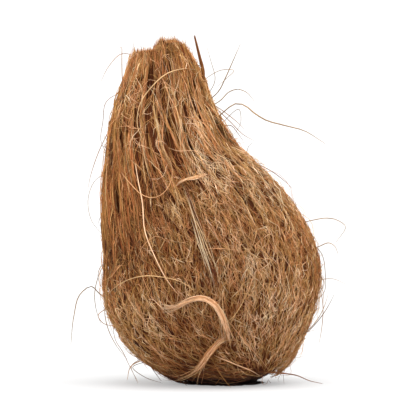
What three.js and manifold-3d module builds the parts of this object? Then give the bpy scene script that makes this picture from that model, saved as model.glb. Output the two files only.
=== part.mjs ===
// A semi-husked coconut: the nut in its coat of brown coir, with the tuft of long
// fibres left on the stem end, standing on its flattened blossom end.
// Millimetres. +Z up, +X to the right as seen from the front, -Y towards the front.
// The origin is the middle of the flat spot that the coconut stands on.

import * as THREE from "three";
import { ParametricGeometry } from "three/addons/geometries/ParametricGeometry.js";
import { mergeVertices } from "three/addons/utils/BufferGeometryUtils.js";
import Module from "manifold-3d";

const { degToRad, lerp, smoothstep, seededRandom } = THREE.MathUtils;
const FULL_TURN = 2 * Math.PI;

// The coat, by the height of each level section and its left and right edge.
// The first two sections lie under the surface that the coconut stands on.
const SECTIONS = [
  { height: -3.5, left: -1, right: -1 },
  { height: -2, left: -15, right: 15 },
  { height: 2, left: -26.5, right: 24 },
  { height: 7, left: -34.5, right: 30.5 },
  { height: 16, left: -46.5, right: 36.5 },
  { height: 27, left: -54.8, right: 41.5 },
  { height: 42, left: -60.5, right: 46 },
  { height: 57, left: -61, right: 47.6 },
  { height: 72, left: -60.7, right: 44.6 },
  { height: 87, left: -61, right: 36.5 },
  { height: 100, left: -60.7, right: 26.6 },
  { height: 112, left: -59.3, right: 14.3 },
  { height: 119, left: -58.3, right: 6 },
  { height: 127, left: -57, right: 0.6 },
  { height: 142, left: -53.5, right: -7.8 },
  { height: 158, left: -48.5, right: -13.3 },
  { height: 172, left: -44.5, right: -21 },
];
const DEPTH_TO_WIDTH_LOW = 0.97;
const DEPTH_TO_WIDTH_HIGH = 0.86;
const TUFT_TOP = 172;

// The blossom pole, where all the fibres gather, lies off the middle of the base.
const POLE_SHIFT = 0.15;
const POLE_TURN = degToRad(-48);

// Locks of fibre, by the turns of the creases between them. 0 is the right side,
// 90 the back, 180 the left side and 270 the front.
const CREASES = [5, 38, 74, 108, 141, 176, 207, 237, 266, 290, 332].map(degToRad);
const TUFT_CREASE = 4.2;
const NUT_CREASE = 1.1;
const STRANDS_IN_A_LOCK = 4;
const STRAND_RISE = 0.7;
const NUT_FIBRE = 0.85;
const TUFT_FIBRE = 0.5;

// How far each lock ends below the top of the tuft, from the crease at 5 degrees on.
const LOCK_SHORTER_BY = [3, 0, 3, 5.5, 6, 6, 6.5, 5, 0, 0.5, 2.5];

// The mesh of the coat: one column for each fibre's crown or gap.
const COLUMNS = 152;
const COAT_ROWS = 22;
const END_ROWS = 3;
const END_ROUGHNESS = 2.2;

// The photo looks down a little, so it shows a place on the front lower than it is.
const VIEW_DOWN = degToRad(3);

// Strips torn out of the husk, each a bundle of fibres that lies over the front,
// by x, the height where the photo shows it, and lift off the coat. A bundle is
// widest at its middle.
const BUNDLE_THICKNESS = 1.5;
const BUNDLE_SPREAD = 1.1;
const TORN_STRIPS = [
  [
    [-31.5, 38, 1.5], [-25.5, 38.5, 2.5], [-18, 42.2, 3], [-11.5, 43.5, 3], [-6, 41, 3],
    [-1.5, 34.5, 2.5], [1, 27, 1.5], [3, 19, -2.5],
  ],
  [[2, 26, -2.5], [-4, 20.5, 1.5], [-9, 14.5, 1.5], [-13.5, 8, 1], [-19, 4, -2.5]],
  [[-26, 98.5, -2], [-21, 101.7, 1.5], [-14, 103.5, 1.5], [-8, 105, -2]],
];

// Loose fibres, 0.8 mm thick in place of 0.3 mm so that they hold as solids.
const STRAY_THICKNESS = 0.8;

// Loose fibres that lie over the front, by x, the height where the photo shows
// them, and lift off the coat.
const LYING_FIBRES = [
  [
    [-14, 157, -2], [-20, 157.5, 2], [-28, 155.5, 3], [-36, 149, 3], [-42.5, 139.5, 2.5],
    [-43.8, 130, 1.5], [-39, 118, -2],
  ],
  [
    [-54, 111, -3], [-51.5, 105.5, 1.5], [-46.5, 99.5, 3], [-41.5, 94.7, 3.5], [-35.5, 93, 3.5],
    [-30, 96, 3.5], [-26.5, 103, 3], [-26.7, 110, 1.5], [-29, 115, -2],
  ],
  [
    [-45.5, 116, -2], [-43.5, 103, 1.5], [-41, 90, 2], [-40, 77, 2], [-35, 64, 2], [-29, 52.5, 2],
    [-22, 43.5, -2],
  ],
  [
    [-60, 42, -3], [-55.5, 48, 2], [-49, 52, 3], [-40, 54.3, 3.5], [-31, 53.7, 3.5],
    [-21, 51, 3], [-15.5, 47, 1.5], [-13.5, 43, -2],
  ],
  [[0, 31, -2], [4, 34, 2], [7.5, 39, 2.5], [10.5, 45, 1.5]],
  [[0, 34, -2], [6, 26.5, 1.5], [11, 20.5, 1.5], [17, 13.5, 1.5], [22, 7, -2]],
  [[-5, 14.5, -2], [1, 12, 1.5], [7, 9.5, 2], [13, 7, 2], [17, 4.5, -2]],
];

// Loose fibres that stand off the outline, by x, y and height.
const HANGING_FIBRES = [
  [[-55.5, 0, 40], [-62, -2, 44.5], [-67, -4, 49], [-72, -5, 45.5], [-75.5, -6, 34], [-77, -7, 20]],
  [[-41, 0, 163], [-52, -2, 165], [-58, -3, 159], [-62, -3, 151.5]],
  [[-10.5, -3, 140], [-3, -4, 147], [0, -5, 153], [4, -6, 162], [7.5, -7, 170]],
  [[-10.5, 3, 137], [-2, 3, 142], [2, 3, 146], [6, 3, 147.3], [11, 4, 145.5], [14.5, 4, 141.5]],
  [
    [-8, -4, 129], [0, -6, 137], [5, -7, 140.5], [9, -8, 140], [15, -9, 135.5], [20, -9, 132.5],
    [30, -10, 129.7], [39, -10, 127.3], [49.5, -11, 121],
  ],
  [[-6, 4, 126], [3, 5, 129], [6.5, 5, 125], [9, 5, 121.5]],
  [[34, -3, 79], [43, -5, 82], [55, -8, 82.7], [60, -9, 79.5], [55.5, -10, 71.5]],
  [[40.5, 3, 65], [48, 4, 69], [52, 4, 70.3], [55, 4, 68.5], [56.5, 4, 65]],
  [[40, -8, 73], [48, -9, 66], [50, -9, 56], [49.3, -9, 46], [41.5, -8, 40]],
  [[-54, 4, 39], [-61, 4, 36.3], [-63.5, 4, 34], [-62, 4, 31], [-52.5, 4, 28]],
  [[-36, -12, 13], [-43, -13, 12], [-47, -14, 9.5], [-48.8, -14, 3]],
  [[-54.5, -6, 106], [-64, -7, 103], [-68, -8, 95], [-67, -8, 83], [-57, -7, 71]],
  [[13, -20, 7], [22, -25, 7.5], [29, -27, 7], [36, -28, 6], [42, -29, 3.5], [48, -30, 2.2]],
];

// A sliver of dark husk that stands up beside the tuft, by x, y and height.
const HUSK_SLIVER = [[-11.5, -4, 148], [-10.8, -4, 156], [-12.6, -4, 163.5], [-15, -4, 173.4]];
const SLIVER_THICKNESS = 2;

// Loose fibres all round the sides and back, by a rule: how far they run along
// the outline and round it, and how far their tips stand off.
const WILD_FIBRES = 22;
const WILD_FROM = degToRad(-35);
const WILD_TO = degToRad(215);
const WILD_RUN = 0.13;
const WILD_SWAY = degToRad(16);
const WILD_LIFT = 8;

const ROOT_DEPTH = 2.5;
const SEED = 13;

seededRandom(SEED);
const fibres = Array.from({ length: COLUMNS }, () => ({
  phase: FULL_TURN * seededRandom(),
  waves: 2 + 5 * seededRandom(),
  size: 0.5 + seededRandom(),
}));

const outline = new THREE.CatmullRomCurve3(
  SECTIONS.map(({ height, left, right }) => {
    return new THREE.Vector3((left + right) / 2, (right - left) / 2, height);
  }),
);

// One level section of the coat: its middle, half width, half depth and height.
function sectionAt(point) {
  const ratio = lerp(DEPTH_TO_WIDTH_LOW, DEPTH_TO_WIDTH_HIGH, smoothstep(point.z, 60, 150));
  const halfWidth = Math.max(point.y, 0);
  return { middle: point.x, halfWidth, halfDepth: halfWidth * ratio, height: point.z };
}

// A point of the smooth coat, by its share of the way up the outline and its turn.
function smoothPoint(share, turn) {
  const point = outline.getPointAt(THREE.MathUtils.clamp(share, 0, 1));
  const { middle, halfWidth, halfDepth, height } = sectionAt(point);
  return new THREE.Vector3(middle + halfWidth * Math.cos(turn), halfDepth * Math.sin(turn), height);
}

function normalAt(share, turn) {
  const step = 0.004;
  const up = smoothPoint(share + step, turn).sub(smoothPoint(share - step, turn));
  const round = smoothPoint(share, turn + step).sub(smoothPoint(share, turn - step));
  return round.cross(up).normalize();
}

function coatPoint(share, turn, lift) {
  return smoothPoint(share, turn).addScaledVector(normalAt(share, turn), lift);
}

// The fibres run straight across a disc, from the shifted pole to its rim.
function placeOnCoat(fibreTurn, along) {
  const pole = new THREE.Vector2(POLE_SHIFT * Math.cos(POLE_TURN), POLE_SHIFT * Math.sin(POLE_TURN));
  const place = pole.lerp(new THREE.Vector2(Math.cos(fibreTurn), Math.sin(fibreTurn)), along);
  return { share: place.length(), turn: Math.atan2(place.y, place.x) };
}

// Which lock a turn is in, and how far across it, from 0 to 1.
function lockAt(turn) {
  const index = CREASES.findLastIndex((crease) => turn >= crease);
  const lock = index < 0 ? CREASES.length - 1 : index;
  const start = CREASES[lock];
  const end = lock + 1 < CREASES.length ? CREASES[lock + 1] : CREASES[0] + FULL_TURN;
  const across = ((index < 0 ? turn + FULL_TURN : turn) - start) / (end - start);
  return { lock, across };
}

// How far the coat stands out at one column: locks, then strands, then fibres.
function reliefAt(column, along) {
  const turn = (FULL_TURN * column) / COLUMNS;
  const { lock, across } = lockAt(turn);
  const inTuft = smoothstep(along, 0.5, 0.85);
  const crown = Math.sqrt(Math.sin(Math.PI * across)) - 0.75;
  const strand = Math.cos(FULL_TURN * STRANDS_IN_A_LOCK * across + 3 * Math.sin(5 * along + 2 * lock));
  const { phase, waves, size } = fibres[column];
  const fibre = (column % 2 ? 1 : -1) * size * (0.5 + 0.5 * Math.sin(phase + FULL_TURN * waves * along));
  const crease = lerp(NUT_CREASE, TUFT_CREASE, inTuft) * crown;
  const room = smoothstep(along, 0.02, 0.3);
  return room * (crease + STRAND_RISE * strand + lerp(NUT_FIBRE, TUFT_FIBRE, inTuft) * fibre);
}

// The closed surface of the coat, with the rough brush of cut fibre ends on top.
function coatSurface(around, upward, target) {
  const column = Math.round(around * COLUMNS) % COLUMNS;
  const row = Math.round(upward * (COAT_ROWS + END_ROWS));
  const along = Math.min(row / COAT_ROWS, 1);
  const fibreTurn = (FULL_TURN * column) / COLUMNS;
  const { share, turn } = placeOnCoat(fibreTurn, along);
  target.copy(coatPoint(share, turn, reliefAt(column, along)));
  const { lock } = lockAt(fibreTurn);
  target.z -= LOCK_SHORTER_BY[lock] * smoothstep(along, 0.8, 1);
  if (row <= COAT_ROWS) return;
  const inward = (row - COAT_ROWS) / END_ROWS;
  const middle = outline.getPointAt(1);
  const rough = inward < 1 ? END_ROUGHNESS * Math.sin(fibres[column].phase + 9 * inward) : 0;
  target.lerp(new THREE.Vector3(middle.x, 0, TUFT_TOP), inward);
  target.z += rough;
}

// How far the smooth coat reaches in front of its middle, at x and height.
// Beyond the edge of the coat it is 0, level with the middle.
function frontDepth(x, height) {
  let low = 0;
  let high = 1;
  for (let step = 0; step < 20; step++) {
    const share = (low + high) / 2;
    if (outline.getPoint(share).z < height) low = share;
    else high = share;
  }
  const { middle, halfWidth, halfDepth } = sectionAt(outline.getPoint(low));
  const aside = (x - middle) / halfWidth;
  return Math.abs(aside) < 1 ? halfDepth * Math.sqrt(1 - aside * aside) : 0;
}

// A point by its x, the height where the photo shows it, and its lift off the coat
// towards the front.
function frontPoint([x, seenHeight, lift]) {
  let height = seenHeight;
  for (let step = 0; step < 4; step++) {
    height = seenHeight + (frontDepth(x, height) + lift) * Math.tan(VIEW_DOWN);
  }
  return new THREE.Vector3(x, -frontDepth(x, height) - lift, height);
}

function hangingPoint([x, y, height]) {
  return new THREE.Vector3(x, y, height);
}

const wasm = await Module();
wasm.setup();

function toSolid(geometry) {
  geometry.deleteAttribute("normal");
  geometry.deleteAttribute("uv");
  const merged = mergeVertices(geometry);
  return new wasm.Manifold(
    new wasm.Mesh({
      numProp: 3,
      vertProperties: merged.attributes.position.array,
      triVerts: new Uint32Array(merged.index.array),
    }),
  );
}

function toGeometry(solid) {
  const { vertProperties, triVerts } = solid.getMesh();
  const geometry = new THREE.BufferGeometry();
  geometry.setAttribute("position", new THREE.BufferAttribute(vertProperties, 3));
  geometry.setIndex(new THREE.BufferAttribute(triVerts, 1));
  geometry.computeVertexNormals();
  return geometry;
}

// A closed bar of the given section along a smooth curve through the points.
function barSolid(points, section) {
  const steps = points.length - 1;
  const extrudePath = new THREE.CatmullRomCurve3(points);
  return toSolid(new THREE.ExtrudeGeometry(section, { steps, extrudePath, bevelEnabled: false }));
}

function threeSided(thickness) {
  const reach = thickness / Math.sqrt(3);
  const corners = [0, FULL_TURN / 3, (2 * FULL_TURN) / 3].map((turn) => {
    return new THREE.Vector2(reach * Math.cos(turn), reach * Math.sin(turn));
  });
  return new THREE.Shape(corners);
}

// The points of one fibre of a torn strip, to one side of the strip's own line.
function besideStrip(strip, side) {
  const last = strip.length - 1;
  return strip.map(([x, height, lift], index) => {
    const [beforeX, beforeHeight] = strip[Math.max(index - 1, 0)];
    const [afterX, afterHeight] = strip[Math.min(index + 1, last)];
    const ahead = new THREE.Vector2(afterX - beforeX, afterHeight - beforeHeight).normalize();
    const aside = side * BUNDLE_SPREAD * Math.sin((Math.PI * index) / last);
    return frontPoint([x - ahead.y * aside, height + ahead.x * aside, lift]);
  });
}

function wildFibrePoints() {
  const startShare = 0.2 + 0.68 * seededRandom();
  const startTurn = lerp(WILD_FROM, WILD_TO, seededRandom());
  const run = WILD_RUN * (0.6 + seededRandom()) * (seededRandom() < 0.5 ? -1 : 1);
  const sway = WILD_SWAY * (2 * seededRandom() - 1);
  return [0, 0.25, 0.5, 0.75, 1].map((along) => {
    const lift = lerp(-ROOT_DEPTH, WILD_LIFT, Math.sqrt(along));
    return coatPoint(Math.min(startShare + run * along, 0.97), startTurn + sway * along * along, lift);
  });
}

function coatSolid() {
  return toSolid(new ParametricGeometry(coatSurface, COLUMNS, COAT_ROWS + END_ROWS));
}

function looseSolids() {
  const strips = TORN_STRIPS.flatMap((strip) =>
    [-1, 0, 1].map((side) => barSolid(besideStrip(strip, side), threeSided(BUNDLE_THICKNESS))),
  );
  const section = threeSided(STRAY_THICKNESS);
  const lying = LYING_FIBRES.map((fibre) => barSolid(fibre.map(frontPoint), section));
  const hanging = HANGING_FIBRES.map((fibre) => barSolid(fibre.map(hangingPoint), section));
  const sliver = barSolid(HUSK_SLIVER.map(hangingPoint), threeSided(SLIVER_THICKNESS));
  const wild = Array.from({ length: WILD_FIBRES }, () => barSolid(wildFibrePoints(), section));
  return [...strips, ...lying, ...hanging, sliver, ...wild];
}

// The surface that the coconut stands on, cut away to leave the flat spot.
function groundSolid() {
  return toSolid(new THREE.BoxGeometry(300, 300, 20).translate(0, 0, -10).toNonIndexed());
}

// The largest body of a solid: hollows that joining sealed are filled, and scraps
// that cutting left are dropped.
function mainBody(solid) {
  return solid.decompose().reduce((main, body) => (body.volume() > main.volume() ? body : main));
}

function coconutSolid() {
  const whole = looseSolids().reduce((joined, piece) => joined.add(piece), coatSolid());
  return mainBody(whole.subtract(groundSolid()));
}

const coir = new THREE.MeshStandardMaterial({ color: 0xa87544, roughness: 0.9, metalness: 0 });
const coconut = new THREE.Mesh(toGeometry(coconutSolid()), coir);
coconut.name = "coconut";

const group = new THREE.Group();
group.add(coconut);

export default group;
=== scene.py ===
"""A semi-husked coconut standing on its blossom end: a nut in a coat of matted coir, with the
tuft of long fibres left on the stem end. The coat is one body, combed along the fibres, and
thousands of separate coir fibres lie over it. Shapes are worked out in millimetres."""

import math
import bpy
import numpy as np
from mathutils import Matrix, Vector


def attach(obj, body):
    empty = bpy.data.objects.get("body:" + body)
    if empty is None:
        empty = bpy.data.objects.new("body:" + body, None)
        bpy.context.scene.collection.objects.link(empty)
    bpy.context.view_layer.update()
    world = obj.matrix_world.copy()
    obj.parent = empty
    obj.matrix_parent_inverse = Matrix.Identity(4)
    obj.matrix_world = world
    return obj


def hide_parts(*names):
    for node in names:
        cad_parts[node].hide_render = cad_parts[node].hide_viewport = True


MM = 0.001
FULL_TURN = 2 * math.pi
seeded = np.random.default_rng

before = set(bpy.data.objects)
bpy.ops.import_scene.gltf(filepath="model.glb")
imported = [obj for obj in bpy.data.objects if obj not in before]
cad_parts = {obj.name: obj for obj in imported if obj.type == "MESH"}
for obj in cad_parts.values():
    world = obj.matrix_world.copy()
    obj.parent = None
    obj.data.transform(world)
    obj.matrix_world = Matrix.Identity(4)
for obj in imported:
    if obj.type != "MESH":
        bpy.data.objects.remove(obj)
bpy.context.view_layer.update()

# The coat, as height, left edge and right edge of its level sections. They are the solid's own.
SECTIONS = np.array([
    (-3.5, -1, -1), (-2, -15, 15), (2, -26.5, 24), (7, -34.5, 30.5), (16, -46.5, 36.5),
    (27, -54.8, 41.5), (42, -60.5, 46), (57, -61, 47.6), (72, -60.7, 44.6), (87, -61, 36.5),
    (100, -60.7, 26.6), (112, -59.3, 14.3), (119, -58.3, 6), (127, -57, 0.6), (142, -53.5, -7.8),
    (158, -48.5, -13.3), (172, -44.5, -21),
])
OUTLINE_STEPS = 600
DEPTH_TO_WIDTH_LOW = 0.97
DEPTH_TO_WIDTH_HIGH = 0.86
TUFT_TOP = 172.0
TUFT_RUN = 220.0

# The blossom pole, where the fibres gather, as a share of the way from the middle to the rim.
POLE_SHIFT = 0.15
POLE_TURN = math.radians(-48)

# The locks of fibre, by the turns of the creases between them. 270 degrees is the front.
CREASES = np.radians([5, 38, 74, 108, 141, 176, 207, 237, 266, 290, 332])
TUFT_CREASE = 4.2
NUT_CREASE = 1.1
STRANDS_IN_A_LOCK = 4
STRAND_RISE = 0.7
NUT_FIBRE = 0.85
TUFT_FIBRE = 0.5
LOCK_SHORTER_BY = np.array([3, 0, 3, 5.5, 6, 6, 6.5, 5, 0, 0.5, 2.5])
SOLID_COLUMNS = 152
SOLID_SEED = 13


def smoothstep(low, high, value):
    share = np.clip((value - low) / (high - low), 0, 1)
    return share * share * (3 - 2 * share)


def unit(vectors):
    return vectors / np.maximum(np.linalg.norm(vectors, axis=-1, keepdims=True), 1e-9)


class SolidDraws:
    """The solid's random draws, one after another, so that its loose fibres come out alike."""

    def __init__(self, seed):
        self.state = seed
        self()

    def __call__(self):
        mask = 0xFFFFFFFF
        self.state = (self.state + 0x6D2B79F5) & mask
        mixed = ((self.state ^ (self.state >> 15)) * (self.state | 1)) & mask
        mixed ^= (mixed + (((mixed ^ (mixed >> 7)) * (mixed | 61)) & mask)) & mask
        return ((mixed ^ (mixed >> 14)) & mask) / 4294967296


solid_draw = SolidDraws(SOLID_SEED)
fibre_draws = np.array([[solid_draw() for _ in range(3)] for _ in range(SOLID_COLUMNS)])
fibre_phase = FULL_TURN * fibre_draws[:, 0]
fibre_waves = 2 + 5 * fibre_draws[:, 1]
fibre_size = 0.5 + fibre_draws[:, 2]


def smooth_line(points, rings):
    """A smooth line through a few points, with the given number of rings."""
    points = np.asarray(points, float)
    reach = np.r_[0, np.cumsum(np.linalg.norm(np.diff(points, axis=0), axis=1))]
    slope = np.gradient(points, reach, axis=0)
    fine = np.linspace(0, reach[-1], rings)
    span = np.clip(np.searchsorted(reach, fine, side="right") - 1, 0, len(reach) - 2)
    width = (reach[span + 1] - reach[span])[:, None]
    t = (fine - reach[span])[:, None] / width
    return (
        (2 * t**3 - 3 * t**2 + 1) * points[span]
        + (t**3 - 2 * t**2 + t) * width * slope[span]
        + (3 * t**2 - 2 * t**3) * points[span + 1]
        + (t**3 - t**2) * width * slope[span + 1]
    )


def outline_curve(steps):
    """The smooth curve through the sections, as middle, half width and height."""
    height, left, right = SECTIONS.T
    return smooth_line(np.stack([(left + right) / 2, (right - left) / 2, height], axis=1), steps)


OUTLINE = outline_curve(OUTLINE_STEPS)
OUTLINE_SHARE = np.linspace(0, 1, OUTLINE_STEPS)


def depth_ratio(height):
    """The coat's depth at a height, as a share of its width there."""
    flatter = smoothstep(60, 150, height)
    return DEPTH_TO_WIDTH_LOW + (DEPTH_TO_WIDTH_HIGH - DEPTH_TO_WIDTH_LOW) * flatter


def smooth_point(share, turn):
    """Points of the smooth coat, by share of the way up the outline and turn."""
    share = np.clip(share, 0, 1)
    middle, half_width, height = (np.interp(share, OUTLINE_SHARE, c) for c in OUTLINE.T)
    half_width = np.maximum(half_width, 0)
    x = middle + half_width * np.cos(turn)
    return np.stack([x, half_width * depth_ratio(height) * np.sin(turn), height], axis=-1)


def normal_at(share, turn):
    step = 0.004
    up = smooth_point(share + step, turn) - smooth_point(share - step, turn)
    around = smooth_point(share, turn + step) - smooth_point(share, turn - step)
    return unit(np.cross(around, up))


def place_on_coat(fibre_turn, along):
    """Share and turn of a place given by its fibre's turn and how far along the fibre it is."""
    pole_x = POLE_SHIFT * math.cos(POLE_TURN)
    pole_y = POLE_SHIFT * math.sin(POLE_TURN)
    x = pole_x + (np.cos(fibre_turn) - pole_x) * along
    y = pole_y + (np.sin(fibre_turn) - pole_y) * along
    return np.hypot(x, y), np.arctan2(y, x)


def smooth_at(fibre_turn, along):
    """Points of the smooth coat, by fibre turn and how far along the fibre they are."""
    return smooth_point(*place_on_coat(fibre_turn, along))


NUDGE = 1e-3


def nudged(fibre_turn, along):
    """Points of the smooth coat, and how far a nudge round it and one along it move them."""
    here = smooth_at(fibre_turn, along)
    beside = smooth_at(fibre_turn + NUDGE, along) - here
    return here, beside, smooth_at(fibre_turn, along + NUDGE) - here


def lock_at(turn):
    """Which lock each turn is in, and how far across it, from 0 to 1."""
    turn = np.mod(turn, FULL_TURN)
    lock = np.searchsorted(CREASES, turn, side="right") - 1
    turn = np.where(lock < 0, turn + FULL_TURN, turn)
    lock = np.where(lock < 0, len(CREASES) - 1, lock)
    ends = np.r_[CREASES[1:], CREASES[0] + FULL_TURN]
    return lock, (turn - CREASES[lock]) / (ends[lock] - CREASES[lock])


def fibre_ridge(column, along):
    """How far one of the solid's fibre ridges or gaps stands out."""
    column = column % SOLID_COLUMNS
    wave = 0.5 + 0.5 * np.sin(fibre_phase[column] + FULL_TURN * fibre_waves[column] * along)
    return np.where(column % 2, 1, -1) * fibre_size[column] * wave


def relief_at(fibre_turn, along):
    """How far the coat stands out: locks, then strands, then fibres."""
    lock, across = lock_at(fibre_turn)
    in_tuft = smoothstep(0.5, 0.85, along)
    crown = np.sqrt(np.maximum(np.sin(np.pi * across), 0)) - 0.75
    sway = 3 * np.sin(5 * along + 2 * lock)
    strand = np.cos(FULL_TURN * STRANDS_IN_A_LOCK * across + sway)
    column = np.mod(fibre_turn, FULL_TURN) / FULL_TURN * SOLID_COLUMNS
    first = np.floor(column).astype(int)
    share = column - first
    fibre = (1 - share) * fibre_ridge(first, along) + share * fibre_ridge(first + 1, along)
    crease = (NUT_CREASE + (TUFT_CREASE - NUT_CREASE) * in_tuft) * crown
    fine = (NUT_FIBRE + (TUFT_FIBRE - NUT_FIBRE) * in_tuft) * fibre * RIDGE_SHARE
    return smoothstep(0.02, 0.3, along) * (crease + STRAND_RISE * strand + fine)


# The fibres lie in the coat's outer millimetre, so the body under them is sunk by their depth. The
# solid's ridges stand for fibres that are modelled one by one here, so only a share is kept.
FIBRE_BED = 0.9
RIDGE_SHARE = 0.35


def coat_point(fibre_turn, along, lift=0.0):
    """Points on the coat's relief, raised by lift. Past 1, along runs on above the tuft."""
    inside = np.minimum(along, 1)
    share, turn = place_on_coat(fibre_turn, inside)
    out = relief_at(fibre_turn, inside) + lift
    points = smooth_point(share, turn) + normal_at(share, turn) * out[..., None]
    lock, _ = lock_at(fibre_turn)
    points[..., 2] -= LOCK_SHORTER_BY[lock] * smoothstep(0.8, 1, inside)
    points[..., 2] += TUFT_RUN * np.maximum(along - 1, 0)
    return points


# The photograph's frame: the middle of the view, and the width that it spans there.
VIEW_MIDDLE = Vector((-8.75, 0, 88.25)) * MM
VIEW_SPAN = 207.5 * MM
VIEW_DOWN = math.radians(3)
VIEW_DISTANCE = 5
SENSOR = 36


def seen_height(y, height):
    """The height at which the view, which looks down a little, shows a place."""
    return height + y * math.tan(VIEW_DOWN)


def front_depth(x, height):
    """The smooth coat's depth in front of the middle, at x and height as seen from the front."""
    middle, half_width = (np.interp(height, OUTLINE[:, 2], OUTLINE[:, i]) for i in (0, 1))
    aside = np.clip((x - middle) / np.maximum(half_width, 1e-9), -1, 1)
    return half_width * depth_ratio(height) * np.sqrt(1 - aside * aside)


def to_linear(hex_colour):
    """An sRGB hex colour as linear red, green, blue and alpha."""
    channels = [int(hex_colour[i:i + 2], 16) / 255 for i in (1, 3, 5)]
    linear = [c / 12.92 if c <= 0.04045 else ((c + 0.055) / 1.055) ** 2.4 for c in channels]
    return (*linear, 1)


def set_inputs(tree, node, inputs):
    """Gives a node's inputs their values or links."""
    for name, value in inputs.items():
        if isinstance(value, bpy.types.NodeSocket):
            tree.links.new(value, node.inputs[name])
        else:
            node.inputs[name].default_value = value


def add_node(tree, kind, inputs=None, stops=None, output=0, **settings):
    """Adds a node, with its settings, a ramp's colour stops, and its inputs' values or links.
    Returns its first output, or the one that is named."""
    made = tree.nodes.new(kind)
    for name, value in settings.items():
        setattr(made, name, value)
    for index, (place, colour) in enumerate(stops or []):
        ramp = made.color_ramp.elements
        element = ramp[index] if index < 2 else ramp.new(place)
        element.position = place
        element.color = to_linear(colour)
    set_inputs(tree, made, inputs or {})
    return made.outputs[output] if len(made.outputs) else None


def map_range(tree, value, ends, new_ends):
    """Carries a value's run between two ends to that between two others."""
    names = ("From Min", "From Max", "To Min", "To Max")
    inputs = {"Value": value, **dict(zip(names, (*ends, *new_ends)))}
    return add_node(tree, "ShaderNodeMapRange", inputs)


def part_of(tree, vector, axis):
    return add_node(tree, "ShaderNodeSeparateXYZ", {"Vector": vector}, output=axis)


def new_material(name):
    """A material, its empty tree, and the UV that its pattern follows."""
    material = bpy.data.materials.new(name)
    material.use_nodes = True
    tree = material.node_tree
    tree.nodes.clear()
    return material, tree, add_node(tree, "ShaderNodeUVMap", uv_map="OFBake")


def finish_shader(tree, colour, shade, surface):
    """The surface, with its colour scaled by a shade."""
    shaded = add_node(tree, "ShaderNodeVectorMath", {0: colour, "Scale": shade}, operation="SCALE")
    shader = add_node(tree, "ShaderNodeBsdfPrincipled", {"Base Color": shaded, **surface})
    add_node(tree, "ShaderNodeOutputMaterial", {"Surface": shader})


# Coir is lignin-rich fibre: matt brown, from near black where it is wet and old to straw gold
# where it is fresh, some of it russet, and some weathered grey. A fibre's U is its family and
# its tone in it, from dark to light, and V runs from its root to its tip.
STRAW, RUSSET, WEATHERED = 0, 1, 2
TONES = [
    ["#3F1906", "#683813", "#8E5E2D", "#AF7F45", "#CDA16C", "#ECCEA4"],
    ["#4A1A07", "#753814", "#9B5C2F", "#BB7B4A", "#D59F70", "#EFCAA6"],
    ["#3A2514", "#61472C", "#876945", "#A98862", "#C9AA82", "#E8D4B2"],
]
TONE_COLUMNS = 96
FIBRE_ROUGHNESS = 0.65
COIR_SPECULAR = 0.2

# Each fibre is lighter and darker at its own places, about 2.5 mm apart along its length.
SHADE_LENGTH = 2.5
SHORT_FIBRE = 6
LONG_FIBRE = 35


def tone_place(family, tone):
    """The U of a tone, from 0 to 1, in its family."""
    return (family + np.clip(tone, 0.02, 0.98)) / len(TONES)


def tone_stops():
    """The colour ramp's stops: every family's tones, side by side."""
    stops = []
    for family, colours in enumerate(TONES):
        for index, colour in enumerate(colours):
            share = 0.005 + 0.99 * index / (len(colours) - 1)
            stops.append(((family + share) / len(TONES), colour))
    return stops


def coir_fibre_material(name, length):
    material, tree, place = new_material(name)
    tone = add_node(tree, "ShaderNodeValToRGB", {"Fac": part_of(tree, place, "X")}, tone_stops())
    # Each fibre is darker towards its root.
    root_darkening = map_range(tree, part_of(tree, place, "Y"), (0, 0.3), (0.6, 1))
    spread = add_node(
        tree, "ShaderNodeMapping",
        {"Vector": place, "Scale": (TONE_COLUMNS, length / SHADE_LENGTH, 1)},
    )
    grain = add_node(tree, "ShaderNodeTexNoise", {"Vector": spread, "Scale": 1, "Detail": 3})
    mottled = map_range(tree, grain, (0.3, 0.7), (0.72, 1.22))
    shade = add_node(tree, "ShaderNodeMath", {0: root_darkening, 1: mottled}, operation="MULTIPLY")
    surface = {"Roughness": FIBRE_ROUGHNESS, "Specular IOR Level": COIR_SPECULAR}
    finish_shader(tree, tone, shade, surface)
    return material


# Pith is the dark cork dust that binds the coir: it fills the gaps between the fibres.
PITH_TONES = [(0.0, "#230A02"), (0.45, "#481E07"), (0.7, "#6E3B13"), (1.0, "#955F2B")]

# Painted shade under the nut: the pith is painted darker near the floor, darkest below this
# height.
FOOT_HEIGHT = 4.0
FOOT_PAINTED_SHADE = 0.15
# The coat ends this far off the floor, and flat fibres fill the gap out to this radius.
FOOT_GAP = 0.7
FOOT_RADIUS = 21.0
FOOT_MIDDLE = -1.0
# The fibres of the recess keep off the blossom pole by this share of the way up.
POLE_CLEAR = 0.16


def pith_material():
    material, tree, place = new_material("coir_and_pith")
    # One fibre's width, 0.5 mm of the 350 mm round the nut, and about 12 mm of its length.
    stretched = add_node(tree, "ShaderNodeMapping", {"Vector": place, "Scale": (350, 9, 1)})
    streaks = add_node(
        tree, "ShaderNodeTexNoise",
        {"Vector": stretched, "Scale": 1.6, "Detail": 4, "Distortion": 0.4},
    )
    tone = map_range(tree, streaks, (0.3, 0.72), (0, 1))
    pith_colour = add_node(tree, "ShaderNodeValToRGB", {"Fac": tone}, PITH_TONES)
    # Painted shade: the pith's colour is scaled down towards the floor, for the shade under the
    # nut.
    level = part_of(tree, add_node(tree, "ShaderNodeTexCoord", output="Object"), "Z")
    foot = (0.6 * FOOT_HEIGHT * MM, 1.4 * FOOT_HEIGHT * MM)
    shade = map_range(tree, level, foot, (FOOT_PAINTED_SHADE, 1))
    bump = add_node(
        tree, "ShaderNodeBump", {"Height": streaks, "Strength": 0.8, "Distance": 0.5 * MM}
    )
    surface = {
        "Roughness": map_range(tree, streaks, (0, 1), (0.95, 0.7)),
        "Normal": bump,
        "Specular IOR Level": COIR_SPECULAR,
    }
    finish_shader(tree, pith_colour, shade, surface)
    return material


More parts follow.
